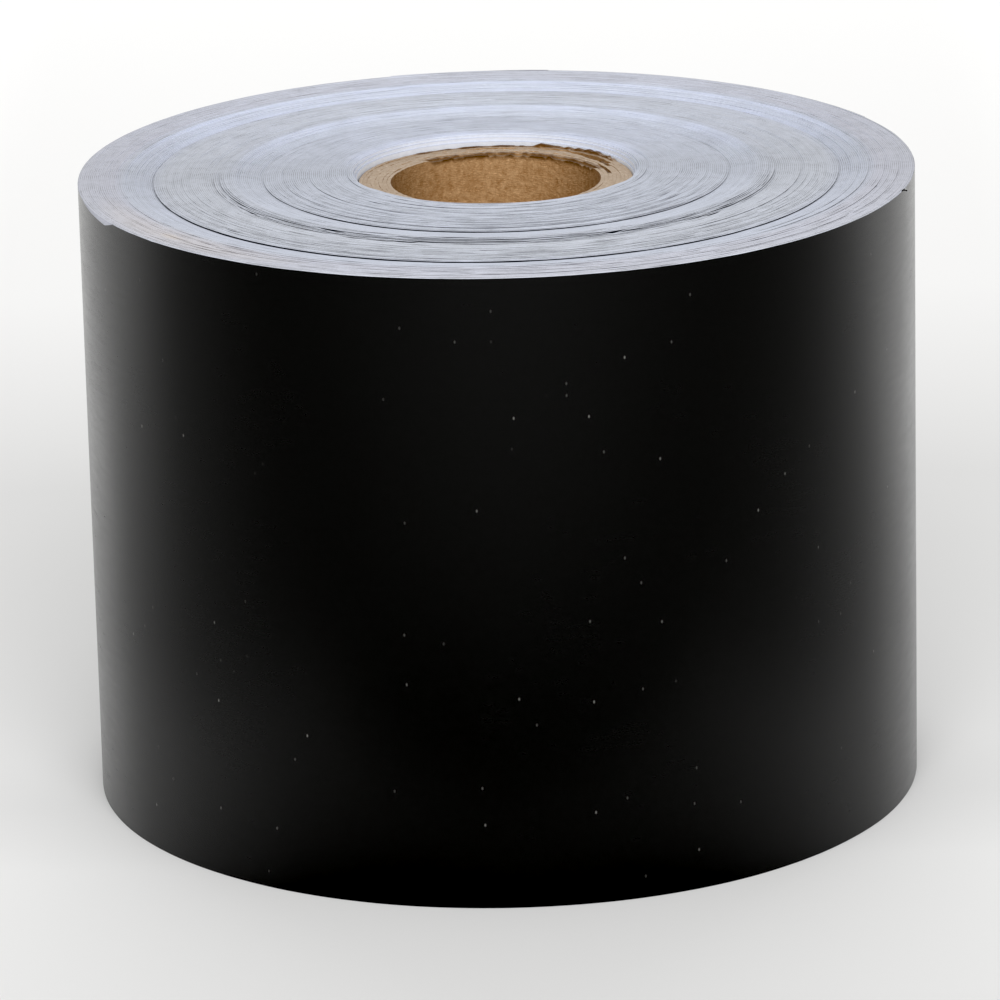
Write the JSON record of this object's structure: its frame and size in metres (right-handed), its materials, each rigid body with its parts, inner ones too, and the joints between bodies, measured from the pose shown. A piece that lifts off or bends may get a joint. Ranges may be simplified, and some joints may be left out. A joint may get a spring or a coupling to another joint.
{
  "type": "roll of sign vinyl",
  "caption": "Roll of glossy self-adhesive vinyl film on a white paper liner, wound face out on a cardboard core, with a loose tail that lifts and a film end that peels.",
  "frame": {"origin": "on the roll's axis, in the plane that it stands on, at the bottom end of the bore", "axes": "+Z along the roll's axis, +Y towards the side where the tail lies"},
  "size_m": [0.1008, 0.101, 0.0762],
  "materials": {
    "film": "semi-gloss calendered film",
    "liner": "smooth silicone-coated paper, cut edge",
    "wound_web": "cut edges of the wound liner, with thin dark lines of film",
    "kraft": "matte spiral-wound kraft board",
    "tape": "translucent double-sided tape"
  },
  "bodies": {
    "roll": {"core_ply_1": "kraft", "core_ply_2": "kraft", "core_ply_3": "kraft", "core_ply_4": "kraft", "core_ply_5": "kraft", "core_ply_6": "kraft", "core_ply_7": "kraft", "core_ply_8": "kraft", "core_tape": "tape", "inner_turns": "wound_web", "middle_turns": "wound_web", "outer_turns": "wound_web", "outer_wrap_liner": "liner", "outer_wrap_film": "film"},
    "tail": {"tail_liner": "liner", "tail_film": "film"},
    "film_end": {"film_end": "film"}
  },
  "joints": [
    {"name": "tail_lift", "type": "hinge", "parent": "roll", "child": "tail", "pos_m": [0.04586, 0.02138, 0.0381], "axis": [0, 0, -1], "range_deg": [0, 60], "stiffness_Nm_per_rad": 0.002},
    {"name": "film_peel", "type": "hinge", "parent": "tail", "child": "film_end", "pos_m": [0.00704, 0.05011, 0.0381], "axis": [0, 0, -1], "range_deg": [0, 75], "stiffness_Nm_per_rad": 0.0002}
  ]
}
